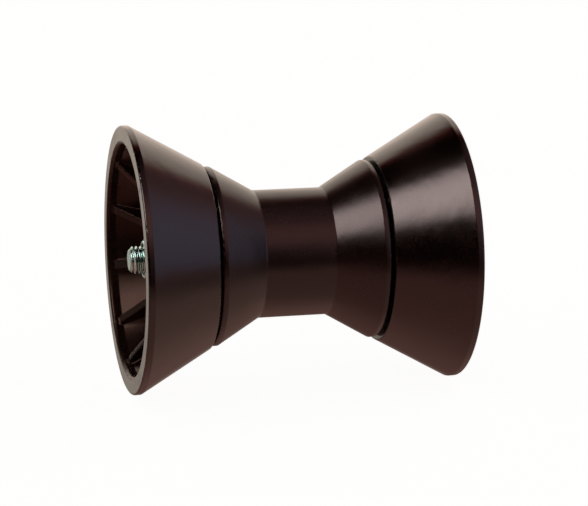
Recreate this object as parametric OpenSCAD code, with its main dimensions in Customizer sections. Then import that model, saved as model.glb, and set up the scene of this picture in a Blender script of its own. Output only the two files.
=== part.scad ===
// Bow roller set: a spool between two bells, all free to turn on one bolt.
// The bolt lies along X, with its head at +X. The origin is the middle of the spool, on the axis.

/* [Spool] */
// Length between the spool's end faces
spool_len = 77; // [70:0.5:77.5]
// Diameter of the land at each end of the spool
spool_end_d = 81.5; // [76:0.5:84]
// Width of each end land
spool_land_w = 2.8; // [1.5:0.1:4]
// Diameter of the barrel between the cones
barrel_d = 58.2; // [48:0.2:64]
// Length of the barrel between the cones
barrel_len = 32.1; // [20:0.1:40]

/* [Bells] */
// Length over the two rims
overall_len = 150.3; // [148.7:0.1:152]
// Diameter of the rim
rim_d = 121.5; // [116:0.5:127]
// Diameter of the small end, beside the spool
small_end_d = 84.5; // [82:0.5:88]
// Gap between the spool and each bell
end_gap = 1.1; // [0.8:0.1:1.6]
// Width of the straight land behind the rim
rim_land_w = 3; // [2:0.1:5]
// Width of the flat rim face
rim_face_w = 8.3; // [6:0.1:10]
// Depth of the straight lip inside the rim
lip_depth = 4.5; // [3:0.1:7]
// Thickness of the floor at the small end
floor_t = 6; // [4:0.5:8]
// Diameter of the hub
hub_d = 34; // [32:0.5:38]
// Number of ribs inside each bell
rib_count = 12; // [8:4:16]
// Thickness of a rib
rib_t = 4; // [2.5:0.1:5]

/* [Bolt and nut] */
// Diameter of the bolt, also over its thread
bolt_d = 12.7; // [12.4:0.05:12.75]
// Pitch of the thread
pitch = 1.954; // [1.75:0.001:2.1]
// Length of the thread
thread_len = 31.7; // [28:0.1:34]
// Depth of the bolt's tip below the rim
tip_depth = 1.6; // [1:0.1:4]
// Width across flats of the nut and of the bolt's head
hex_af = 19.05; // [18.5:0.05:20]
// Height of the bolt's head
head_h = 8; // [7:0.1:9]
// Height of the lock nut with its collar
nut_h = 15.2; // [14.5:0.1:15.8]

/* [Washers and bushes] */
// Diameter of the flat steel washers
washer_d = 27; // [25:0.5:28]
// Thickness of the flat steel washers
washer_t = 2.4; // [2:0.1:2.8]
// Bore of the nylon bushes, which run on the bolt
bush_id = 12.84; // [12.8:0.01:12.88]
// Outer diameter of the nylon bushes
bush_od = 19.05; // [17:0.05:22]
// Diameter of the flange on each bell's bush
flange_d = 29; // [27:0.5:31]
// Thickness of that flange
flange_t = 1.2; // [1:0.1:1.6]
// Diameter of the thin nylon washers in the gaps
gap_washer_d = 28; // [24:0.5:36]

/* [Hidden] */
$fn = 96;
rim_r = rim_d / 2;
spool_end_r = spool_end_d / 2;
barrel_r = barrel_d / 2;
small_end_r = small_end_d / 2;
hub_r = hub_d / 2;
bolt_r = bolt_d / 2;
bush_r = bush_od / 2;
// Rounding of the moulded edges, outside and inside
edge_round = 0.8;
crease_round = 1.6;
// Axial places, counted from the middle of the spool
rim_x = overall_len / 2;
bell_x = spool_len / 2 + end_gap;
bell_len = rim_x - bell_x;
hub_h = 8.6;
// Play between a flat washer and the flange beside it
side_play = 0.15;
washer_x = bell_x + hub_h + flange_t + side_play;
seat_x = washer_x + washer_t;
tip_x = rim_x - tip_depth;
bolt_len = tip_x + seat_x;
// Free edge of a rib: its depth below the rim at the lip, and where it meets the hub
rib_top_depth = 3;
rib_top_r = rim_r - rim_face_w - 1.3;
rib_foot_depth = 27.8;
// Thread form: radius of the crests, just under the shank's, depth of the groove, flats
crest_r = bolt_r - 0.06;
thread_h = 1.06;
crest_w = pitch / 8;
root_w = pitch / 4;
thread_sides = 32;
// Radial room between the nut's thread and the bolt's
thread_room = 0.12;
// Width of the chamfer on the bolt's tip
tip_chamfer = 1.7;
// Lock nut: height of its hexagon, then its round collar with a crimped lip
nut_hex_h = 11.6;
collar_r = 9;
collar_round = 1.2;
collar_lip_r = 7.4;
// Nylon ring inside the collar
insert_r = 8.1;
insert_h = 3.1;
insert_z = nut_h - 0.7 - insert_h;
insert_room = 0.04;
// Washers
washer_hole_r = bolt_r + 0.4;
gap_washer_t = end_gap - 0.1;

// Points of an arc from angle a0 to a1 about [x, y]
function arc(x, y, r, a0, a1, n = 5) =
    [for (i = [0:n]) let (a = a0 + (a1 - a0) * i / n) [x + r * cos(a), y + r * sin(a)]];

// Points that round a corner b of an outline a-b-c with radius r
function corner(a, b, c, r, n = 5) =
    let (u = (a - b) / norm(a - b),
         v = (c - b) / norm(c - b),
         half = acos(u * v) / 2,
         o = b + (u + v) / norm(u + v) * r / sin(half),
         p = b + u * r / tan(half),
         q = b + v * r / tan(half),
         a0 = atan2(p[1] - o[1], p[0] - o[0]),
         turn = atan2(q[1] - o[1], q[0] - o[0]) - a0,
         sweep = turn > 180 ? turn - 360 : turn < -180 ? turn + 360 : turn)
    arc(o[0], o[1], r, a0, a0 + sweep, n);

// An outline with rounded corners, from a list of [r, z, rounding]
function rounded(list) =
    let (n = len(list),
         at = function (i) [list[(i + n) % n][0], list[(i + n) % n][1]])
    [for (i = [0:n - 1])
        each list[i][2] > 0 ? corner(at(i - 1), at(i), at(i + 1), list[i][2]) : [at(i)]];

// Turns a shape made along +Z to lie along +X or -X
module along_x(side) {
    rotate([0, side * 90, 0])
        children();
}

// A round plate or tube along Z
module ring(outer_r, inner_r, height) {
    difference() {
        cylinder(r = outer_r, h = height);
        translate([0, 0, -1])
            cylinder(r = inner_r, h = height + 2);
    }
}

// Hexagonal prism with both ends chamfered as bar stock is
module hex_bar(height) {
    corner_r = hex_af / 2 / cos(30);
    flat_r = hex_af / 2 * 0.97;
    drop = (corner_r - flat_r) * tan(30);
    intersection() {
        cylinder(r = corner_r, h = height, $fn = 6);
        rotate_extrude()
            polygon([[0, 0], [flat_r, 0], [corner_r, drop], [corner_r, height - drop],
                     [flat_r, height], [0, height]]);
    }
}

// One bell along +Z, with its small end at z = 0
module bell() {
    lip_r = rim_r - rim_face_w;
    slope = (rim_r - small_end_r) / (bell_len - rim_land_w);
    floor_r = lip_r - (bell_len - lip_depth - floor_t) * slope;
    difference() {
        union() {
            rotate_extrude()
                polygon(rounded([
                    [0, 0, 0],
                    [small_end_r, 0, edge_round],
                    [rim_r, bell_len - rim_land_w, edge_round],
                    [rim_r, bell_len, edge_round],
                    [lip_r, bell_len, edge_round / 2],
                    [lip_r, bell_len - lip_depth, 0],
                    [floor_r, floor_t, 2 * crease_round],
                    [hub_r, floor_t, crease_round],
                    [hub_r, hub_h, edge_round],
                    [0, hub_h, 0]]));
            for (i = [0:rib_count - 1])
                rotate([0, 0, (i + 0.5) * 360 / rib_count])
                    bell_rib(lip_r, floor_r);
        }
        translate([0, 0, -1])
            cylinder(r = bush_r, h = hub_h + 2);
    }
}

// One rib along +X, buried in the hub, the floor and the wall
module bell_rib(lip_r, floor_r) {
    bury = 2;
    rotate([90, 0, 0])
        translate([0, 0, -rib_t / 2])
            linear_extrude(height = rib_t)
                polygon([
                    [hub_r - bury, floor_t - bury],
                    [floor_r + bury, floor_t - bury],
                    [lip_r + bury, bell_len - lip_depth - bury],
                    [lip_r + bury, bell_len - rib_top_depth],
                    [rib_top_r, bell_len - rib_top_depth],
                    [hub_r, bell_len - rib_foot_depth],
                    [hub_r - bury, bell_len - rib_foot_depth]]);
}

// Flanged bush of a bell, along +Z, flush with the small end
module bell_bush() {
    difference() {
        union() {
            cylinder(r = bush_r, h = hub_h + flange_t);
            translate([0, 0, hub_h])
                cylinder(r = flange_d / 2, h = flange_t);
        }
        translate([0, 0, -1])
            cylinder(d = bush_id, h = hub_h + flange_t + 2);
    }
}

// Right-hand screw along +Z from z = 0 to height, with an optional chamfer at z = 0.
// Each side of the polygon is one column of points, and a column is shifted up from
// the last one by its share of the pitch, so that crests and roots are true helices.
module screw(top_r, height, chamfer = 0) {
    root_r = top_r - thread_h;
    flank_w = (pitch - crest_w - root_w) / 2;
    // One pitch as [height, radius], from the end of one root to the start of the next
    form = [[0, root_r], [flank_w, top_r], [flank_w + crest_w, top_r],
            [pitch - root_w, root_r]];
    turns = ceil(height / pitch) + 3;
    rows = 4 * turns;
    used = rows - 4;
    start = -2 * pitch;
    points = [for (i = [0:thread_sides - 1], k = [0:rows - 1])
        let (z = start + floor(k / 4) * pitch + form[k % 4][0] + pitch * i / thread_sides,
             limit = top_r - chamfer + max(0, z),
             r = chamfer > 0 ? min(form[k % 4][1], limit) : form[k % 4][1],
             a = 360 * i / thread_sides)
        [r * cos(a), r * sin(a), z]];
    ends = [[0, 0, start], [0, 0, start + turns * pitch]];
    base = len(points);
    // After a full turn the surface is one pitch higher, which is four rows
    function id(i, k) = i < thread_sides ? i * rows + k : k + 4;
    function rim(k) = [for (i = [0:thread_sides - 1]) id(i, k), k + 4, k + 3, k + 2, k + 1, k];
    walls = [for (i = [0:thread_sides - 1], k = [0:used - 2])
        each [[id(i, k), id(i, k + 1), id(i + 1, k + 1)],
              [id(i, k), id(i + 1, k + 1), id(i + 1, k)]]];
    floor_rim = rim(0);
    top_rim = rim(used - 1);
    caps = [for (j = [0:len(floor_rim) - 2])
        each [[base, floor_rim[j], floor_rim[j + 1]],
              [base + 1, top_rim[j + 1], top_rim[j]]]];
    intersection() {
        polyhedron(points = concat(points, ends), faces = concat(walls, caps));
        translate([-2 * top_r, -2 * top_r, 0])
            cube([4 * top_r, 4 * top_r, height]);
    }
}

// Body of the lock nut along +Z, with its bearing face at z = 0 and a round collar on top
module nut_body() {
    difference() {
        union() {
            hex_bar(nut_hex_h);
            rotate_extrude()
                polygon(concat(
                    [[0, 1], [collar_r, 1]],
                    arc(collar_r - collar_round, nut_h - collar_round, collar_round, 0, 90),
                    [[0, nut_h]]));
        }
        translate([0, 0, insert_z])
            cylinder(r = insert_r, h = insert_h);
        translate([0, 0, insert_z])
            cylinder(r = collar_lip_r, h = nut_h);
    }
}

module spool() {
    half = spool_len / 2;
    color([0.17, 0.13, 0.12])
        rotate([0, 90, 0])
            rotate_extrude()
                polygon(rounded([
                    [bush_r, -half, 0],
                    [spool_end_r, -half, edge_round],
                    [spool_end_r, -half + spool_land_w, edge_round],
                    [barrel_r, -barrel_len / 2, crease_round],
                    [barrel_r, barrel_len / 2, crease_round],
                    [spool_end_r, half - spool_land_w, edge_round],
                    [spool_end_r, half, edge_round],
                    [bush_r, half, 0]]));
}

module left_bell() {
    color([0.18, 0.14, 0.13])
        translate([-bell_x, 0, 0])
            along_x(-1)
                bell();
}

module right_bell() {
    color([0.18, 0.14, 0.13])
        translate([bell_x, 0, 0])
            along_x(1)
                bell();
}

module spool_bush() {
    color([0.86, 0.85, 0.8])
        translate([-spool_len / 2, 0, 0])
            along_x(1)
                ring(bush_r, bush_id / 2, spool_len);
}

module left_bell_bush() {
    color([0.86, 0.85, 0.8])
        translate([-bell_x, 0, 0])
            along_x(-1)
                bell_bush();
}

module right_bell_bush() {
    color([0.86, 0.85, 0.8])
        translate([bell_x, 0, 0])
            along_x(1)
                bell_bush();
}

module left_gap_washer() {
    color([0.82, 0.81, 0.76])
        translate([-spool_len / 2 - (end_gap - gap_washer_t) / 2, 0, 0])
            along_x(-1)
                ring(gap_washer_d / 2, washer_hole_r, gap_washer_t);
}

module right_gap_washer() {
    color([0.82, 0.81, 0.76])
        translate([spool_len / 2 + (end_gap - gap_washer_t) / 2, 0, 0])
            along_x(1)
                ring(gap_washer_d / 2, washer_hole_r, gap_washer_t);
}

module nut_washer() {
    color([0.72, 0.75, 0.76])
        translate([-washer_x, 0, 0])
            along_x(-1)
                ring(washer_d / 2, washer_hole_r, washer_t);
}

module head_washer() {
    color([0.72, 0.75, 0.76])
        translate([washer_x, 0, 0])
            along_x(1)
                ring(washer_d / 2, washer_hole_r, washer_t);
}

module axle_bolt() {
    color([0.74, 0.78, 0.78])
        translate([-tip_x, 0, 0])
            along_x(1) {
                screw(crest_r, thread_len, tip_chamfer);
                translate([0, 0, thread_len - 0.5])
                    cylinder(r = bolt_r, h = bolt_len - thread_len + 1);
                translate([0, 0, bolt_len])
                    hex_bar(head_h);
            }
}

module lock_nut() {
    color([0.74, 0.78, 0.78])
        difference() {
            translate([-seat_x, 0, 0])
                along_x(-1)
                    nut_body();
            translate([-tip_x, 0, 0])
                along_x(1)
                    screw(crest_r + thread_room, tip_x - seat_x + pitch);
        }
}

module lock_nut_insert() {
    color([0.9, 0.9, 0.86])
        translate([-seat_x, 0, 0])
            along_x(-1)
                translate([0, 0, insert_z])
                    ring(insert_r, bolt_r + insert_room, insert_h);
}

spool();
left_bell();
right_bell();
axle_bolt();
lock_nut();
lock_nut_insert();
nut_washer();
head_washer();
spool_bush();
left_bell_bush();
right_bell_bush();
left_gap_washer();
right_gap_washer();
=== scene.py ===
import math

import bmesh
import bpy
import numpy as np
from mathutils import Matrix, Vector


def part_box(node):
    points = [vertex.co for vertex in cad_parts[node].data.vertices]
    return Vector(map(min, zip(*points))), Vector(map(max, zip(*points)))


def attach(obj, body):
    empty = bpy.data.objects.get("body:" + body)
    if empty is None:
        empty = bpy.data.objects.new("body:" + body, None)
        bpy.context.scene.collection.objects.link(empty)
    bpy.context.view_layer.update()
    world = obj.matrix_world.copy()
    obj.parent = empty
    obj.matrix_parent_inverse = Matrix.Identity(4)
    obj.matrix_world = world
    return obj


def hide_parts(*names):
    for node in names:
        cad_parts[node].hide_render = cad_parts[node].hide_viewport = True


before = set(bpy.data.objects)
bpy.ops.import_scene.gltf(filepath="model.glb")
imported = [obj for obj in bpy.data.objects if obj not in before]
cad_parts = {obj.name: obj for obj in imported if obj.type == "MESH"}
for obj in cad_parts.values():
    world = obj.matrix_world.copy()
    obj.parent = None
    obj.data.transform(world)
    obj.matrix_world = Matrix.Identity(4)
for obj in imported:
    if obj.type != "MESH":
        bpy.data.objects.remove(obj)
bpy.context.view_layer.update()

MM = 0.001

# ---------------------------------------------------------------- sizes, in millimetres
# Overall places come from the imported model, and the details are named here.


def reach(node, axis):
    """Highest coordinate of a node along an axis (0 is X, 2 is Z), in millimetres."""
    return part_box(node)[1][axis] / MM


RIM_X = reach("right_bell", 0)
RIM_R = reach("right_bell", 2)
BELL_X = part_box("right_bell")[0][0] / MM
BELL_LEN = RIM_X - BELL_X
SPOOL_HALF = reach("spool", 0)
SPOOL_END_R = reach("spool", 2)
BUSH_R = reach("spool_bush", 2)
WASHER_R = reach("head_washer", 2)
WASHER_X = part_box("head_washer")[0][0] / MM
SEAT_X = reach("head_washer", 0)
TIP_X = -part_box("axle_bolt")[0][0] / MM
HEAD_H = reach("axle_bolt", 0) - SEAT_X
NUT_H = -SEAT_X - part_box("lock_nut")[0][0] / MM
FLANGE_R = reach("right_bell_bush", 2)
FLANGE_X = reach("right_bell_bush", 0)
GAP_WASHER_R = reach("right_gap_washer", 2)
GAP_WASHER_X = (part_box("right_gap_washer")[0][0] / MM, reach("right_gap_washer", 0))

# The bells. Depths are measured from the rim's flat face.
SMALL_END_R = 42.25
RIM_LAND_W = 3.0
RIM_FACE_W = 8.3
LIP_R = RIM_R - RIM_FACE_W
LIP_DEPTH = 4.5
FLOOR_T = 6.0
HUB_R = 17.0
HUB_H = 8.6
WALL_SLOPE = (RIM_R - SMALL_END_R) / (BELL_LEN - RIM_LAND_W)
FLOOR_R = LIP_R - (BELL_LEN - LIP_DEPTH - FLOOR_T) * WALL_SLOPE
RIB_COUNT = 12
RIB_HALF_T = 2.0
RIB_DRAFT = 0.1
RIB_CROWN_HALF_W = 0.75
RIB_TOP_ROUND = 0.5
RIB_SIDE_FILLET = 0.8
RIB_TOP_DEPTH = 3.0
RIB_TOP_R = LIP_R - 1.3
RIB_FOOT_DEPTH = 27.8
# Below this height a rib's roundings shrink with it
RIB_FULL_ROUND_H = 2.5
# The flat rim face is joined up between these two rings, outward from the lip
FACE_INNER_RING = 2.5
FACE_OUTER_RING = 3.5

# Roundings of the mouldings
EDGE_ROUND = 0.8
CREASE_ROUND = 1.6
LIP_EDGE_ROUND = 1.5
LIP_FILLET = 1.2
SPOOL_EDGE_ROUND = 1.3

# The spool
SPOOL_LAND_W = 2.8
BARREL_R = 29.1
BARREL_HALF = 16.05

# The bolt, a 1/2 in one with 13 threads per inch, and what sits on it
BOLT_R = 6.35
BUSH_BORE_R = 6.42
WASHER_HOLE_R = 6.75
CREST_R = BOLT_R - 0.06
THREAD_H = 1.06
PITCH = 1.954
THREAD_LEN = 31.7
THREAD_RUN_OUT = 1.2
TIP_CHAMFER = 1.7
TIP_DISH = 0.12
CUT_LOOK_FULL = 0.4
CUT_LOOK_GONE = 1.9
HEX_AF = 19.05
HEX_CORNER_CUT = 0.12
HEX_CHAMFER_ANGLE = 30
HEX_FACE_SHARE = 0.97
NUT_HEX_H = 11.6
NUT_SINK = 0.25
NUT_FACE_RING = 0.7
COLLAR_R = 9.0
COLLAR_ROUND = 1.2
COLLAR_LIP_R = 7.4
COLLAR_LIP_T = 0.7
COLLAR_LIP_ROUND = 0.2
INSERT_R = 8.1
INSERT_H = 3.1
INSERT_Z = NUT_H - COLLAR_LIP_T - INSERT_H
INSERT_BORE_R = BOLT_R + 0.04
THREAD_ROOM = 0.12

# Points round each piece
SIDES = 360
SMALL_SIDES = 120
THREAD_SIDES = 96

# Places closer than this are taken as one
CLOSE = 0.01
# A span shorter than this has no direction
NO_LENGTH = 1e-6


# ---------------------------------------------------------------- outlines
def corner(a, b, c, radius, steps=5):
    """Points of the arc that rounds corner b of the outline a-b-c."""
    a, b, c = (np.array(p, float) for p in (a, b, c))
    u = (a - b) / np.linalg.norm(a - b)
    v = (c - b) / np.linalg.norm(c - b)
    half = math.acos(np.clip(u @ v, -1, 1)) / 2
    centre = b + (u + v) / np.linalg.norm(u + v) * radius / math.sin(half)
    p = b + u * radius / math.tan(half)
    q = b + v * radius / math.tan(half)
    start = math.atan2(*(p - centre)[::-1])
    turn = math.atan2(*(q - centre)[::-1]) - start
    turn = (turn + math.pi) % (2 * math.pi) - math.pi
    angles = start + turn * np.linspace(0, 1, steps + 1)
    return [centre + radius * np.array([math.cos(t), math.sin(t)]) for t in angles]


def rounded(outline, step=1.5, closed=False):
    """Dense points along an outline of (r, z, rounding), with a short step beside each arc."""
    n = len(outline)
    points = []
    for i, (r, z, radius) in enumerate(outline):
        inside = closed or 0 < i < n - 1
        if radius > 0 and inside:
            here = corner(outline[i - 1][:2], (r, z), outline[(i + 1) % n][:2], radius)
        else:
            here = [np.array((r, z), float)]
        if points:
            points += between(points[-1], here[0], step)
        points += here
    if closed:
        points += between(points[-1], points[0], step)
    return np.array(points)


def between(p, q, step, near=0.25):
    """Points that split the straight from p to q, the outermost at near from its ends."""
    length = np.linalg.norm(q - p)
    if length < 3 * near:
        return []
    inner = max(1, int(round((length - 2 * near) / step)))
    places = [near + (length - 2 * near) * i / inner for i in range(inner + 1)]
    return [p + (q - p) * d / length for d in places]


# ---------------------------------------------------------------- meshes
def make_object(name, verts, faces, body, nodes, slot, material):
    """A smooth mesh piece, from millimetres, that rides on a body and replaces CAD nodes."""
    mesh = bpy.data.meshes.new(name)
    mesh.from_pydata([tuple(v) for v in np.asarray(verts) * MM], [], faces)
    mesh.validate()
    mesh.polygons.foreach_set("use_smooth", [True] * len(mesh.polygons))
    mesh.materials.append(material)
    obj = bpy.data.objects.new(name, mesh)
    bpy.context.scene.collection.objects.link(obj)
    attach(obj, body)
    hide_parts(*nodes)
    return obj


def grid_faces(rows, cols, offset=0, close_rows=False):
    """Quads of a grid whose columns close on themselves."""
    faces = []
    for k in range(rows if close_rows else rows - 1):
        low = offset + k * cols
        high = offset + (k + 1) % rows * cols
        for i in range(cols):
            j = (i + 1) % cols
            faces.append((low + i, low + j, high + j, high + i))
    return faces


def even_angles(sides):
    """Angles of the points of a ring, from 0 up to just under a full turn."""
    return np.arange(sides) * 2 * math.pi / sides


def unit_ring(angles):
    """Points (x, y) on the unit circle."""
    return np.stack([np.cos(angles), np.sin(angles)], 1)


def turned(profile, sides=SIDES):
    """Points of a profile of (r, z) turned about Z, one row of points to each profile point."""
    ring = unit_ring(even_angles(sides))
    return np.concatenate([np.column_stack([ring * r, np.full(sides, z)]) for r, z in profile])


def lay_along_x(points, x, side):
    """Turns points made along +Z to lie along X from place x, towards +X or -X."""
    p = np.asarray(points)
    return np.column_stack([x + side * p[:, 2], p[:, 1], -side * p[:, 0]])


def revolve(name, outline, x, side, step=1.5, sides=SIDES, **piece):
    """A closed ring-shaped piece from a closed outline, which runs anticlockwise in (r, z)."""
    profile = rounded(outline, step, closed=True)
    verts = lay_along_x(turned(profile, sides), x, side)
    faces = grid_faces(len(profile), sides, close_rows=True)
    return make_object(name, verts, faces, **piece)


def bridge(low, high, low_angles, high_angles):
    """Triangles between two rings of different counts, both sorted by angle."""
    faces = []
    i = j = 0
    n, m = len(low), len(high)
    while i < n or j < m:
        next_low = low_angles[i + 1] if i + 1 < n else low_angles[0] + 2 * math.pi
        next_high = high_angles[j + 1] if j + 1 < m else high_angles[0] + 2 * math.pi
        if j >= m or (i < n and next_low <= next_high):
            faces.append((low[i % n], low[(i + 1) % n], high[j % m]))
            i += 1
        else:
            faces.append((low[i % n], high[(j + 1) % m], high[j % m]))
            j += 1
    return faces


# ---------------------------------------------------------------- the bells
def rib_section():
    """Columns across half a rib, as (offset from its middle plane, drop from its free edge,
    rise from the wall): one of drop and rise is None. Free edge and foot are rounded."""
    steps = np.linspace(0, math.pi / 2, 5)
    top = [(0.0, 0.0, None), (RIB_CROWN_HALF_W, 0.0, None)]
    for a in steps:
        offset = RIB_HALF_T - RIB_DRAFT - RIB_TOP_ROUND * (1 - math.sin(a))
        top.append((offset, RIB_TOP_ROUND * (1 - math.cos(a)), None))
    foot = []
    for a in steps:
        offset = RIB_HALF_T + RIB_DRAFT + RIB_SIDE_FILLET * (1 - math.cos(a))
        foot.append((offset, None, RIB_SIDE_FILLET * (1 - math.sin(a))))
    return top + foot


def half_width_angle(offset, r):
    """Angle at radius r of a point at an offset from a rib's middle plane. Within the hub
    and past the lip, where there is no rib, the angle no longer changes."""
    return math.asin(offset / min(max(r, HUB_R), LIP_R))


def bell_inside(pocket_columns=8, flat_rows=4):
    """Rows and columns of the bell's inside, as an array of points [row, column, xyz]."""
    base = rounded([
        (BUSH_R, HUB_H, 0), (HUB_R, HUB_H, EDGE_ROUND), (HUB_R, FLOOR_T, CREASE_ROUND),
        (FLOOR_R, FLOOR_T, 2 * CREASE_ROUND), (LIP_R, BELL_LEN - LIP_DEPTH, LIP_FILLET),
        (LIP_R, BELL_LEN, LIP_EDGE_ROUND), (LIP_R + FACE_INNER_RING, BELL_LEN, 0)])
    foot_z = BELL_LEN - RIB_FOOT_DEPTH
    top_z = BELL_LEN - RIB_TOP_DEPTH
    on_hub = np.where((base[:, 0] <= HUB_R + CLOSE) & (base[:, 1] >= foot_z))[0].max()
    on_lip = np.where((base[:, 0] >= LIP_R - CLOSE) & (base[:, 1] <= top_z))[0].max()
    # The rib's free edge slopes from the hub up to a knee, then runs flat to the lip
    slope = np.linspace(0, 1, on_lip - on_hub - flat_rows + 1)[:, None]
    flat = np.linspace(0, 1, flat_rows + 1)[1:, None]
    start, knee, stop = base[on_hub], np.array([RIB_TOP_R, top_z]), base[on_lip]
    crest = base.copy()
    crest[on_hub:on_lip + 1] = np.concatenate([start + (knee - start) * slope,
                                               knee + (stop - knee) * flat])

    half = rib_section()
    section = [(-offset, drop, rise) for offset, drop, rise in reversed(half[1:])] + half
    rib_angle = 2 * math.pi / RIB_COUNT
    rows = []
    for wall, free in zip(base, crest):
        height = np.linalg.norm(free - wall)
        up = (free - wall) / height if height > NO_LENGTH else np.zeros(2)
        shrink = min(1.0, height / RIB_FULL_ROUND_H)
        beside = half_width_angle(half[-1][0], wall[0])
        row = []
        for n in range(RIB_COUNT):
            middle = (n + 0.5) * rib_angle
            for offset, drop, rise in section:
                r, z = free - up * drop * shrink if rise is None else wall + up * rise * shrink
                a = middle + half_width_angle(offset, r)
                row.append((r * math.cos(a), r * math.sin(a), z))
            r, z = wall
            pocket = np.linspace(middle + beside, middle + rib_angle - beside,
                                 pocket_columns + 2)[1:-1]
            row += [(r * math.cos(a), r * math.sin(a), z) for a in pocket]
        rows.append(row)
    return np.array(rows)


def bell(side, name, material, shaded_inner_material):
    """One moulded bell: ribbed inside, turned outside, joined on the flat rim face and
    along the bush's seat. All that lies deeper than the rim face has the inner material, a
    shaded copy of the rubber whose weaker, reddened reflection paints shade into the hollow."""
    inside = bell_inside()
    n_in, cols = inside.shape[:2]
    outline = [
        (LIP_R + FACE_OUTER_RING, BELL_LEN, 0), (RIM_R, BELL_LEN, EDGE_ROUND),
        (RIM_R, BELL_LEN - RIM_LAND_W, EDGE_ROUND), (SMALL_END_R, 0, EDGE_ROUND),
        (BUSH_R, 0, 0)]
    outside = turned(rounded(outline))
    n_out = len(outside) // SIDES
    offset = n_in * cols

    def join(row, outer_row):
        inner = [row * cols + i for i in range(cols)]
        inner_angles = np.unwrap(np.arctan2(inside[row, :, 1], inside[row, :, 0]))
        angles = even_angles(SIDES)
        first = int(np.searchsorted(angles, inner_angles[0]))
        outer = [offset + outer_row * SIDES + (first + i) % SIDES for i in range(SIDES)]
        return bridge(inner, outer, inner_angles, angles[first] + angles)

    faces = grid_faces(n_in, cols) + grid_faces(n_out, SIDES, offset) + join(n_in - 1, 0)
    faces += [face[::-1] for face in join(0, n_out - 1)]
    verts = lay_along_x(np.concatenate([inside.reshape(-1, 3), outside]), side * BELL_X, side)
    obj = make_object(f"{name}_rubber", verts, faces, body=name, nodes=[name],
                      slot="bell_rubber", material=material)
    obj.data.materials.append(shaded_inner_material)
    inner_rows = int((inside[:, 0, 2] < BELL_LEN - 5 * CLOSE).sum())
    for face in obj.data.polygons[:inner_rows * cols]:
        face.material_index = 1
    clean(obj)
    return obj


# ---------------------------------------------------------------- the spool
def spool(material):
    """The spool: a barrel between two cones, each with a narrow land at its end."""
    outline = [
        (BUSH_R, -SPOOL_HALF, 0), (SPOOL_END_R, -SPOOL_HALF, SPOOL_EDGE_ROUND),
        (SPOOL_END_R, SPOOL_LAND_W - SPOOL_HALF, EDGE_ROUND),
        (BARREL_R, -BARREL_HALF, CREASE_ROUND), (BARREL_R, BARREL_HALF, CREASE_ROUND),
        (SPOOL_END_R, SPOOL_HALF - SPOOL_LAND_W, EDGE_ROUND),
        (SPOOL_END_R, SPOOL_HALF, SPOOL_EDGE_ROUND), (BUSH_R, SPOOL_HALF, 0)]
    return revolve("spool_rubber", outline, 0, 1, body="spool", nodes=["spool"],
                   slot="spool_rubber", material=material)


# ---------------------------------------------------------------- bolt, nut and washers
def washer(name, node, body, slot, material, x, side, outer_r, thick, edge=0.25):
    """A flat washer whose near face is at x, with its outer edges rounded by edge."""
    outline = [(WASHER_HOLE_R, 0, edge / 2), (outer_r, 0, edge), (outer_r, thick, edge),
               (WASHER_HOLE_R, thick, edge / 2)]
    return revolve(name, outline, x, side, sides=SMALL_SIDES, body=body, nodes=[node],
                   slot=slot, material=material)


def bush(name, node, body, material, x, side, length, flange_x=None, edge=0.2):
    """A nylon bush, with a flange from flange_x to its end where that is given."""
    outline = [(BUSH_BORE_R, 0, edge), (BUSH_R, 0, edge)]
    if flange_x is None:
        outline += [(BUSH_R, length, edge)]
    else:
        outline += [(BUSH_R, flange_x, 0), (FLANGE_R, flange_x, edge), (FLANGE_R, length, edge)]
    outline += [(BUSH_BORE_R, length, edge)]
    return revolve(name, outline, x, side, step=4, sides=SMALL_SIDES, body=body, nodes=[node],
                   slot="nylon", material=material)


def thread_form(top_r):
    """One pitch of the thread as (z, r), up one flank, over the crest, down the other flank
    and along the root."""
    crest, root = PITCH / 8, PITCH / 4
    flank = (PITCH - crest - root) / 2
    low = top_r - THREAD_H
    soft, root_soft = 0.12, 0.072
    crest_round, root_round = 0.03, 0.02
    up = [(0.0, low), (flank * soft, low + THREAD_H * root_soft),
          (flank * 0.5, low + THREAD_H * 0.5), (flank * (1 - soft), top_r - THREAD_H * soft),
          (flank, top_r - crest_round)]
    down = [(2 * flank + crest - z, r) for z, r in reversed(up)]
    return up + [(flank + crest / 2, top_r)] + down + [(PITCH - root / 2, low - root_round)]


def thread_surface(top_r, z_low, z_high, limit):
    """Rows and columns of a right-hand thread between two heights. limit(z, r) gives the
    radius at a height. Points past an end are gathered on that end's circle."""
    form = thread_form(top_r)
    first = math.floor(z_low / PITCH) - 1
    turns = math.ceil((z_high - z_low) / PITCH) + 3
    stations = [(n * PITCH + z, r) for n in range(first, first + turns) for z, r in form]
    lift = PITCH * np.arange(THREAD_SIDES) / THREAD_SIDES
    ring = unit_ring(even_angles(THREAD_SIDES))
    rows = []
    for z, r in stations:
        heights = np.clip(z + lift, z_low, z_high)
        radii = np.array([limit(h, r) for h in heights])
        rows.append(np.column_stack([ring * radii[:, None], heights]))
    return np.array(rows), len(form)


def thread_faces(rows, per_turn, offset, inward=False):
    """Quads of a thread surface. A full turn climbs one pitch, which is per_turn rows."""
    faces = []
    n = THREAD_SIDES
    for k in range(rows - 1 - per_turn):
        for i in range(n):
            a, d = offset + k * n + i, offset + (k + 1) * n + i
            if i + 1 < n:
                b, c = a + 1, d + 1
            else:
                b, c = offset + (k + per_turn) * n, offset + (k + 1 + per_turn) * n
            faces.append((a, d, c, b) if inward else (a, b, c, d))
    return faces


def hex_radius(angle):
    """Distance from the axis to the hexagon's side, with its corners just taken off."""
    across = HEX_AF / 2
    turn = (angle + math.pi / 6) % (math.pi / 3) - math.pi / 6
    return min(across / math.cos(turn), across / math.cos(math.pi / 6) - HEX_CORNER_CUT)


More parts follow.
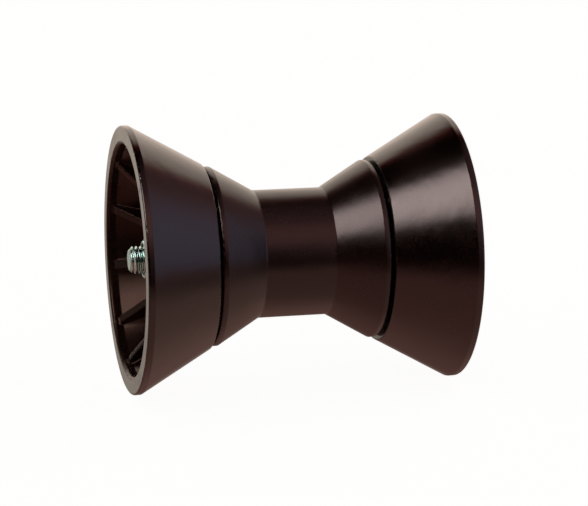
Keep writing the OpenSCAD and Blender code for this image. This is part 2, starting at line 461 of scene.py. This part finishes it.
def hex_rows(z_low, z_high, inner_r):
    """Rows of points from the bearing face's inner edge, over the chamfered hexagon, to
    the inner edge of its other face, with extra columns beside each corner."""
    chamfer = math.tan(math.radians(HEX_CHAMFER_ANGLE))
    flat_r = HEX_AF / 2 * HEX_FACE_SHARE
    beside_edge = 0.15
    sixth = math.pi / 3
    at_corner = np.radians([-1.6, -0.8, 0, 0.8, 1.6])
    along_side = np.linspace(at_corner[-1], sixth + at_corner[0], 14)[1:-1]
    columns = np.concatenate([at_corner, along_side])
    angles = np.concatenate([n * sixth + columns for n in range(6)])
    edge_r = np.array([hex_radius(a + sixth / 2) for a in angles])
    drop = np.maximum(0, edge_r - flat_r) * chamfer
    ring = unit_ring(angles)

    def row(radii, heights):
        radii = np.broadcast_to(radii, angles.shape)
        heights = np.broadcast_to(heights, angles.shape)
        return np.column_stack([ring * radii[:, None], heights])

    def half(end, inward):
        """Rows from the middle of an end face to just past the chamfer."""
        rows = [row(r, end) for r in (inner_r, flat_r - 0.5, flat_r - 0.1)]
        rows += [row(flat_r + (edge_r - flat_r) * share, end + inward * drop * share)
                 for share in (0.15, 0.5, 0.85, 1.0)]
        return rows + [row(edge_r, end + inward * (drop + beside_edge))]

    middle = row(edge_r, (z_low + z_high) / 2)
    return np.array(half(z_low, 1) + [middle] + half(z_high, -1)[::-1]), angles


def ring_of(offset, angles):
    """Vertex numbers and rising angles of one ring of points, from its first angle past 0."""
    past = np.mod(angles, 2 * math.pi)
    count = len(angles)
    order = [(int(np.argmin(past)) + i) % count for i in range(count)]
    return [offset + i for i in order], past[order]


def axle_bolt(material):
    """The bolt along +Z from its tip: thread, shank, then the hexagon head."""
    length = TIP_X + SEAT_X
    tip_r = CREST_R - TIP_CHAMFER
    root_r = CREST_R - THREAD_H

    def limit(z, r):
        """Chamfers the thread's tip and fills its root up to the shank at its other end."""
        if z < TIP_CHAMFER + 0.3:
            return min(r, tip_r + z)
        if z > THREAD_LEN - THREAD_RUN_OUT:
            share = (z - THREAD_LEN + THREAD_RUN_OUT) / THREAD_RUN_OUT
            return max(r, root_r + (BOLT_R - root_r) * min(1, share))
        return r

    surface, per_turn = thread_surface(CREST_R, 0, THREAD_LEN, limit)
    n_rows, n = len(surface), THREAD_SIDES
    verts = [surface.reshape(-1, 3)]
    faces = thread_faces(n_rows, per_turn, 0)
    # Tip: a flat face with a shallow dished middle
    tip = turned([(tip_r - 0.25, 0.0), (tip_r * 0.6, 0.05), (tip_r * 0.25, TIP_DISH)], n)
    offset = n_rows * n
    verts.append(tip)
    for i in range(n):
        j = (i + 1) % n
        faces.append((offset + i, offset + j, j, i))
    for k in range(2):
        for i in range(n):
            j = (i + 1) % n
            low = offset + k * n
            faces.append((low + i, low + n + i, low + n + j, low + j))
    faces.append([offset + 2 * n + i for i in range(n)][::-1])
    offset += len(tip)
    # Shank: rows beside the thread, along the straight, then a small fillet under the head
    shank = turned([(BOLT_R, THREAD_LEN + z) for z in (0, 0.3)]
                   + [(BOLT_R, z) for z in np.linspace(THREAD_LEN + 5, length - 0.8, 12)]
                   + [(BOLT_R + 0.15, length - 0.2), (BOLT_R + 0.5, length)], n)
    verts.append(shank)
    top_of_thread = n_rows - 1 - per_turn
    for i in range(n):
        j = (i + 1) % n
        a = top_of_thread * n + i
        b = top_of_thread * n + j if j else (n_rows - 1) * n
        faces.append((a, b, offset + j, offset + i))
    n_shank = len(shank) // n
    faces += grid_faces(n_shank, n, offset)
    shank_top = offset + (n_shank - 1) * n
    offset += len(shank)
    # Head: the hexagon's rows start at its bearing face, round the shank
    rows, hex_angles = hex_rows(length, length + HEAD_H, BOLT_R + 1.0)
    cols = len(hex_angles)
    verts.append(rows.reshape(-1, 3))
    faces += grid_faces(len(rows), cols, offset)
    low, low_angles = ring_of(shank_top, even_angles(n))
    high, high_angles = ring_of(offset, hex_angles)
    faces += bridge(low, high, low_angles, high_angles)
    last = offset + (len(rows) - 1) * cols
    faces.append([last + i for i in range(cols)])
    verts = lay_along_x(np.concatenate(verts), -TIP_X, 1)
    obj = make_object("bolt", verts, faces, body="axle", nodes=["axle_bolt"],
                      slot="zinc_steel", material=material)
    clean(obj)
    return obj


def clean(obj, together=0.002, no_edge=0.001):
    """Joins points that lie together, drops faces with no area and turns faces outward."""
    bm = bmesh.new()
    bm.from_mesh(obj.data)
    bmesh.ops.remove_doubles(bm, verts=bm.verts, dist=together * MM)
    bmesh.ops.dissolve_degenerate(bm, edges=bm.edges, dist=no_edge * MM)
    bmesh.ops.recalc_face_normals(bm, faces=bm.faces)
    bm.to_mesh(obj.data)
    bm.free()


def lock_nut(material):
    """The nut in the bolt's own frame, where its thread matches the bolt's: bearing face,
    hexagon, round collar with a crimped lip, the insert's groove, then the threaded bore."""
    seat = TIP_X - SEAT_X
    sink_r = BOLT_R + NUT_SINK
    face_r = sink_r + NUT_FACE_RING
    z_low, z_high = seat - INSERT_Z, seat

    def limit(z, r):
        """Countersinks both ends of the thread."""
        return max(r, sink_r - (z - z_low), sink_r - (z_high - z))

    rows, angles = hex_rows(0, NUT_HEX_H, face_r)
    ring = unit_ring(angles)
    flat_top = len(rows) - 2
    top = rounded([(COLLAR_R + 0.1, NUT_HEX_H, 0), (COLLAR_R, NUT_HEX_H, 0),
                   (COLLAR_R, NUT_H, COLLAR_ROUND), (COLLAR_LIP_R, NUT_H, COLLAR_LIP_ROUND),
                   (COLLAR_LIP_R, INSERT_Z + INSERT_H, 0), (INSERT_R, INSERT_Z + INSERT_H, 0),
                   (INSERT_R, INSERT_Z, 0), (face_r, INSERT_Z, 0)])
    collar = np.array([np.column_stack([ring * r, np.full(len(angles), z)]) for r, z in top])
    shell = np.concatenate([rows[:flat_top], collar])
    shell[:, :, 2] = seat - shell[:, :, 2]
    cols = len(angles)
    verts = [shell.reshape(-1, 3)]
    faces = grid_faces(len(shell), cols)
    surface, per_turn = thread_surface(CREST_R + THREAD_ROOM, z_low, z_high, limit)
    offset = len(shell) * cols
    n_rows, n = len(surface), THREAD_SIDES
    verts.append(surface.reshape(-1, 3))
    faces += thread_faces(n_rows, per_turn, offset, inward=True)
    top_of_thread = n_rows - 1 - per_turn
    for bore_row, shell_row in ((top_of_thread, 0), (0, len(shell) - 1)):
        bore, bore_angles = ring_of(offset + bore_row * n, even_angles(n))
        edge, edge_angles = ring_of(shell_row * cols, angles)
        faces += bridge(bore, edge, bore_angles, edge_angles)
    verts = lay_along_x(np.concatenate(verts), -TIP_X, 1)
    obj = make_object("nut", verts, faces, body="axle", nodes=["lock_nut"],
                      slot="zinc_steel", material=material)
    clean(obj)
    return obj


# ---------------------------------------------------------------- materials
class Nodes:
    """A node tree under construction. Its methods add nodes and give their output."""

    def __init__(self, owner):
        owner.use_nodes = True
        self.tree = owner.node_tree

    def node(self, kind, inputs=(), output=0, **settings):
        made = self.tree.nodes.new(kind)
        for key, value in settings.items():
            setattr(made, key, value)
        for key, value in dict(inputs).items():
            self.set(made.inputs[key], value)
        return made.outputs[output]

    def set(self, socket, value):
        if isinstance(value, bpy.types.NodeSocket):
            self.tree.links.new(value, socket)
        else:
            socket.default_value = value

    def place(self):
        """The point's own place on its piece, in metres."""
        return self.node("ShaderNodeTexCoord", output=3)

    def math(self, operation, a, b=0.0):
        return self.node("ShaderNodeMath", {0: a, 1: b}, operation=operation)

    def noise(self, vector, scale, detail=2.0, roughness=0.5, w=None):
        inputs = {"Vector": vector, "Scale": scale, "Detail": detail, "Roughness": roughness}
        if w is None:
            return self.node("ShaderNodeTexNoise", inputs)
        inputs["W"] = w
        return self.node("ShaderNodeTexNoise", inputs, noise_dimensions="4D")

    def ramp(self, value, low, high, to_low=0.0, to_high=1.0, shape="LINEAR"):
        """Maps low..high onto to_low..to_high, held at both ends."""
        return self.node("ShaderNodeMapRange", {
            "Value": value, "From Min": low, "From Max": high, "To Min": to_low,
            "To Max": to_high}, clamp=True, interpolation_type=shape)

    def weighted(self, *terms):
        """The sum of the terms (socket, weight), each socket times its weight."""
        total = None
        for socket, weight in terms:
            part = self.math("MULTIPLY", socket, weight)
            total = part if total is None else self.math("ADD", total, part)
        return total

    def vector_math(self, operation, a, b, output=0):
        return self.node("ShaderNodeVectorMath", {0: a, 1: b}, output, operation=operation)

    def split(self, vector):
        """The three parts of a vector."""
        made = self.tree.nodes.new("ShaderNodeSeparateXYZ")
        self.tree.links.new(vector, made.inputs[0])
        return made.outputs

    def mix(self, share, a, b):
        """Colour a where share is 0, colour b where it is 1."""
        made = self.tree.nodes.new("ShaderNodeMix")
        made.data_type = "RGBA"
        self.set(made.inputs["Factor"], share)
        self.set(made.inputs[6], a)
        self.set(made.inputs[7], b)
        return made.outputs[2]

    def around_x(self, along, across, turn, least_radius=0.0005):
        """A vector and a fourth coordinate for noise that streams round the X axis, with
        no seam: along scales x, across the radius and turn the angle."""
        x, y, z = self.split(self.place())
        radius = self.math("SQRT", self.weighted((y, y), (z, z)))
        safe = self.math("MAXIMUM", radius, least_radius)
        vector = self.node("ShaderNodeCombineXYZ", {
            0: self.math("MULTIPLY", x, along),
            1: self.math("MULTIPLY", self.math("DIVIDE", y, safe), turn),
            2: self.math("MULTIPLY", self.math("DIVIDE", z, safe), turn)})
        return vector, self.math("MULTIPLY", radius, across)


class Material(Nodes):
    """A material with one surface shader, whose inputs are set by name."""

    def __init__(self, name):
        self.material = bpy.data.materials.new(name)
        super().__init__(self.material)
        self.bsdf = self.tree.nodes["Principled BSDF"]

    def surface(self, **values):
        """Sets inputs: base_color is the input Base Color, and so on."""
        for key, value in values.items():
            words = [w.upper() if w == "ior" else w.capitalize() for w in key.split("_")]
            self.set(self.bsdf.inputs[" ".join(words)], value)

    def bump(self, strength, distance, height):
        self.surface(normal=self.node("ShaderNodeBump", {
            "Strength": strength, "Distance": distance, "Height": height}))


# Dark and light shade of the clouds in the rubber outside and inside the bells, the paler shade
# of its edges, which stands for rubbed wear and also paints a highlight there, and how deep
# the nicks there are in the relief
RUBBER_SHADES = ((0.012, 0.006, 0.005, 1), (0.030, 0.016, 0.013, 1))
DUSTY_SHADES = ((0.030, 0.014, 0.010, 1), (0.085, 0.044, 0.030, 1))
WORN_AND_HIGHLIGHT_SHADE = (0.085, 0.062, 0.052, 1)
NICK_DEPTH = 9.0


def rubber(name, seed, gloss, ior, shine=0.5, tint=(1, 1, 1, 1), shades=RUBBER_SHADES):
    """Satin moulded rubber: cloudy and a little wavy, with fine grain, faint streaks round
    the axis from turning in use, and nicked edges painted paler, partly as rubbed wear and
    partly as a painted highlight along them."""
    s = Material(name)
    shifted = s.vector_math("ADD", s.place(), (seed, seed * 0.7, seed * 1.3))
    vector, w = s.around_x(1800, 1800, 6.0)
    streak = s.noise(vector, 1.0, 1.0, 0.5, w)
    wave = s.noise(shifted, 75, 2.0, 0.4)
    cloud = s.noise(shifted, 34, 4.0, 0.6)
    mottle = s.noise(shifted, 700, 3.0, 0.6)
    grain = s.noise(shifted, 2600, 2.0, 0.6)
    pointy = s.node("ShaderNodeNewGeometry", output=7)
    # Paler convex edges: partly rubbed wear, partly a painted highlight along them
    worn_and_highlight = s.math("MULTIPLY", s.ramp(pointy, 0.515, 0.57), s.ramp(cloud, 0.38, 0.6))
    nick = s.ramp(s.noise(shifted, 260, 2.0, 0.5), 0.52, 0.62, 0.0, -NICK_DEPTH)
    at_edge = s.ramp(pointy, 0.505, 0.54)

    tone = s.weighted((cloud, 0.6), (streak, 0.1), (mottle, 0.3))
    colour = s.mix(s.ramp(tone, 0.38, 0.66), *shades)
    # Paints the edges paler with the edge shade, which is rubbed wear and also a painted
    # highlight
    colour = s.mix(s.math("MULTIPLY", worn_and_highlight, 0.6), colour, WORN_AND_HIGHLIGHT_SHADE)
    rough = s.math("ADD", s.ramp(cloud, 0.4, 0.62, gloss - 0.025, gloss + 0.04),
                   s.ramp(mottle, 0.3, 0.7, -0.005, 0.01))
    rough = s.math("ADD", rough, s.math("MULTIPLY", worn_and_highlight, 0.1))
    s.surface(base_color=colour, roughness=rough, ior=ior, specular_ior_level=shine,
              specular_tint=tint)
    relief = s.weighted((grain, 0.4), (mottle, 0.35), (streak, 0.04), (wave, 11.0),
                        (nick, at_edge))
    s.bump(0.3, 0.00006, relief)
    return s.material


def zinc():
    """Bright zinc plate over cut steel: fine turning marks, cloudy gloss, a cool tint, and
    a duller cut end at the tip."""
    s = Material("zinc_plate")
    place = s.place()
    vector, w = s.around_x(5000, 5000, 3.0)
    streak = s.noise(vector, 1.0, 3.0, 0.6, w)
    cloud = s.noise(place, 420, 4.0, 0.6)
    x = s.split(place)[0]
    cut = s.ramp(x, (CUT_LOOK_FULL - TIP_X) * MM, (CUT_LOOK_GONE - TIP_X) * MM, 1.0, 0.0)
    plated = s.mix(s.ramp(cloud, 0.3, 0.7), (0.38, 0.64, 0.61, 1), (0.58, 0.84, 0.81, 1))
    dull = s.mix(s.ramp(cloud, 0.35, 0.65), (0.28, 0.48, 0.46, 1), (0.54, 0.78, 0.76, 1))
    rough = s.math("ADD", s.ramp(cloud, 0.3, 0.7, 0.14, 0.24),
                   s.ramp(streak, 0.3, 0.7, 0.0, 0.06))
    rough = s.math("ADD", rough, s.math("MULTIPLY", cut, 0.12))
    s.surface(base_color=s.mix(cut, plated, dull), metallic=1.0, roughness=rough)
    s.bump(0.3, 0.00003, streak)
    return s.material


def nylon():
    """Natural nylon: milky, waxy, with faint flow clouds."""
    s = Material("natural_nylon")
    place = s.place()
    cloud = s.noise(place, 150, 4.0, 0.55)
    grain = s.noise(place, 3000, 2.0, 0.5)
    colour = s.mix(s.ramp(cloud, 0.3, 0.7), (0.72, 0.69, 0.60, 1), (0.82, 0.80, 0.73, 1))
    s.surface(base_color=colour, roughness=s.ramp(cloud, 0.3, 0.7, 0.38, 0.5),
              subsurface_weight=0.15, subsurface_radius=(0.002, 0.002, 0.0015))
    s.bump(0.2, 0.00003, grain)
    return s.material


# ---------------------------------------------------------------- the object
def build_object():
    """All 13 pieces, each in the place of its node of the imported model."""
    bell_rubber = rubber("bell_rubber", seed=0.0, gloss=0.17, ior=1.52)
    # The bells' inside: a dustier copy of the rubber, whose weaker, reddened reflection paints
    # shade into the hollow
    shaded_inner_rubber = rubber("bell_rubber_inside_shaded", seed=0.9, gloss=0.27, ior=1.52, shine=0.15,
                          tint=(1, 0.74, 0.64, 1), shades=DUSTY_SHADES)
    spool_rubber = rubber("spool_rubber", seed=1.7, gloss=0.23, ior=1.46)
    steel = zinc()
    white = nylon()
    bell(-1, "left_bell", bell_rubber, shaded_inner_rubber)
    bell(1, "right_bell", bell_rubber, shaded_inner_rubber)
    spool(spool_rubber)
    axle_bolt(steel)
    lock_nut(steel)
    revolve("nut_insert", [(INSERT_BORE_R, INSERT_Z, 0), (INSERT_R, INSERT_Z, 0),
                           (INSERT_R, INSERT_Z + INSERT_H, 0),
                           (INSERT_BORE_R, INSERT_Z + INSERT_H, 0.3)],
            -SEAT_X, -1, sides=SMALL_SIDES, body="axle", nodes=["lock_nut_insert"],
            slot="nylon", material=white)
    washer("washer_at_nut", "nut_washer", "axle", "zinc_steel", steel, -WASHER_X, -1,
           WASHER_R, SEAT_X - WASHER_X)
    washer("washer_at_head", "head_washer", "axle", "zinc_steel", steel, WASHER_X, 1,
           WASHER_R, SEAT_X - WASHER_X)
    low, high = GAP_WASHER_X
    for side, word in ((-1, "left"), (1, "right")):
        washer(f"thin_washer_{word}", f"{word}_gap_washer", "axle", "nylon", white,
               side * low, side, GAP_WASHER_R, high - low, edge=0.15)
        bush(f"bell_bush_{word}", f"{word}_bell_bush", f"{word}_bell", white, side * BELL_X,
             side, FLANGE_X - BELL_X, flange_x=HUB_H)
    bush("spool_liner", "spool_bush", "spool", white, -SPOOL_HALF, 1, 2 * SPOOL_HALF)


# ---------------------------------------------------------------- stage and light
# The floor, in metres: just under the rims, and wide enough to fill the picture
FLOOR_GAP = 0.0005
FLOOR_Z = -RIM_R * MM - FLOOR_GAP
FLOOR_HALF = 3.0
FLOOR_GLOW = 0.95


def direction(azimuth, elevation):
    """A unit vector. Azimuth 0 points at the camera's side, -Y, and 90 at +X."""
    a, e = math.radians(azimuth), math.radians(elevation)
    return (math.sin(a) * math.cos(e), -math.cos(a) * math.cos(e), math.sin(e))


# Soft round lights at the studio's walls, seen by direction: where they stand, the angles
# from their middle at which they are full and gone, the heights (the direction's z) at which
# they are gone and full, and their colour. The first is the key light. The next two stand
# behind the object, for the left bell's ring face and the top edges. The others are fills.
STUDIO_LIGHTS = [
    (direction(-70.5, 41.5), 5, 25.5, 0.21, 0.28, (7.3, 5.85, 5.6)),
    (direction(165, 4), 36, 52, -0.6, 0.16, (1.02, 1.06, 0.90)),
    (direction(165, 15), 38, 50, -0.45, 0.1, (0.26, 0.0, 0.0)),
    (direction(60, 20.5), 1, 42.5, -0.15, 0.0, (0.09, 0.28, 0.465)),
    (direction(59, 32), 9.5, 67, -0.3, -0.1, (0.58, 0.29, 0.29)),
    (direction(-3, 43), 1, 31, -0.45, -0.25, (0.66, 0.28, 0.22)),
    (direction(-112, 2), 6, 34, -0.45, -0.25, (0.5, 0.43, 0.40)),
]
# The warm light from the ground, on the left and on the right, and how far each ramp of it
# reaches: in height from full to gone, from the near side to the back, from left to right
GROUND_GLOW_LEFT = (0.63, 0.27, 0.23)
GROUND_GLOW_RIGHT = (0.71, 0.42, 0.35)
GROUND_GLOW_Z = (-0.45, -0.07)
GROUND_GLOW_Y = (0.13, 1.2)
GROUND_GLOW_X = (-0.6, 0.9)
ROOM_GLOW = (0.06, 0.055, 0.05)


def build_world():
    """White behind the object. Reflections see a dark room with the soft lights and a warm
    ground, and matt surfaces see an even, dim light."""
    world = bpy.data.worlds.new("studio")
    bpy.context.scene.world = world
    s = Nodes(world)
    # A world's generated coordinate is the direction in which a ray leaves
    sky = s.node("ShaderNodeTexCoord", output=0)
    x, y, z = s.split(sky)

    def lit(share_a, share_b, colour):
        return s.vector_math("MULTIPLY", s.math("MULTIPLY", share_a, share_b), colour)

    down = s.ramp(z, *GROUND_GLOW_Z, 1.0, 0.0, shape="SMOOTHSTEP")
    near_side = s.ramp(y, *GROUND_GLOW_Y, 1.0, 0.0, shape="SMOOTHSTEP")
    glow = s.mix(s.ramp(x, *GROUND_GLOW_X), (*GROUND_GLOW_LEFT, 1), (*GROUND_GLOW_RIGHT, 1))
    total = lit(down, near_side, glow)
    for place, full, gone, low, high, colour in STUDIO_LIGHTS:
        near = s.vector_math("DOT_PRODUCT", sky, place, output=1)
        share = s.ramp(near, math.cos(math.radians(gone)), math.cos(math.radians(full)),
                       shape="SMOOTHSTEP")
        above = s.ramp(z, low, high, shape="SMOOTHSTEP")
        total = s.vector_math("ADD", total, lit(share, above, colour))
    rays = s.tree.nodes.new("ShaderNodeLightPath")
    seen = s.mix(rays.outputs["Is Diffuse Ray"], total, (*ROOM_GLOW, 1))
    seen = s.mix(rays.outputs["Is Camera Ray"], seen, (1, 1, 1, 1))
    s.set(s.tree.nodes["Background"].inputs["Color"], seen)
    world.cycles.sampling_method = "NONE"


def build_floor():
    """A pale floor that glows a little, so that the object's shadow on it stays soft. The
    object's reflections see the ground glow of the world instead."""
    s = Material("pale_floor")
    cloud = s.noise(s.place(), 3, 2.0)
    colour = s.mix(cloud, (0.80, 0.80, 0.80, 1), (0.82, 0.82, 0.82, 1))
    s.surface(base_color=colour, roughness=0.9, specular_ior_level=0.0,
              emission_color=(1, 1, 1, 1), emission_strength=FLOOR_GLOW)
    mesh = bpy.data.meshes.new("floor")
    h = FLOOR_HALF
    mesh.from_pydata([(-h, -h, FLOOR_Z), (h, -h, FLOOR_Z), (h, h, FLOOR_Z), (-h, h, FLOOR_Z)],
                     [], [(0, 1, 2, 3)])
    mesh.materials.append(s.material)
    floor = bpy.data.objects.new("floor", mesh)
    bpy.context.scene.collection.objects.link(floor)
    floor.visible_glossy = False
    floor.visible_diffuse = False


# ---------------------------------------------------------------- camera
# The direction to the camera in degrees, its distance, its lens and sensor, and how far the
# line of sight passes to the right of the object's middle and above it, in millimetres
CAMERA_AZIMUTH = -13.213
CAMERA_ELEVATION = 12.508
CAMERA_DISTANCE = 1164.0
CAMERA_LENS = 156.05
CAMERA_SENSOR = 36
AIM_RIGHT = 2.75
AIM_UP = -0.32


def build_camera():
    """The camera, where the photograph was taken from."""
    data = bpy.data.cameras.new("camera")
    data.lens = CAMERA_LENS
    data.sensor_width = CAMERA_SENSOR
    obj = bpy.data.objects.new("camera", data)
    bpy.context.scene.collection.objects.link(obj)
    back = Vector(direction(CAMERA_AZIMUTH, CAMERA_ELEVATION))
    right = Vector(direction(CAMERA_AZIMUTH + 90, 0))
    up = back.cross(right)
    obj.location = (back * CAMERA_DISTANCE + right * AIM_RIGHT + up * AIM_UP) * MM
    obj.rotation_euler = (-back).to_track_quat("-Z", "Y").to_euler()
    bpy.context.scene.camera = obj


build_camera()
build_object()
build_world()
build_floor()
bpy.context.scene.view_settings.view_transform = "Standard"
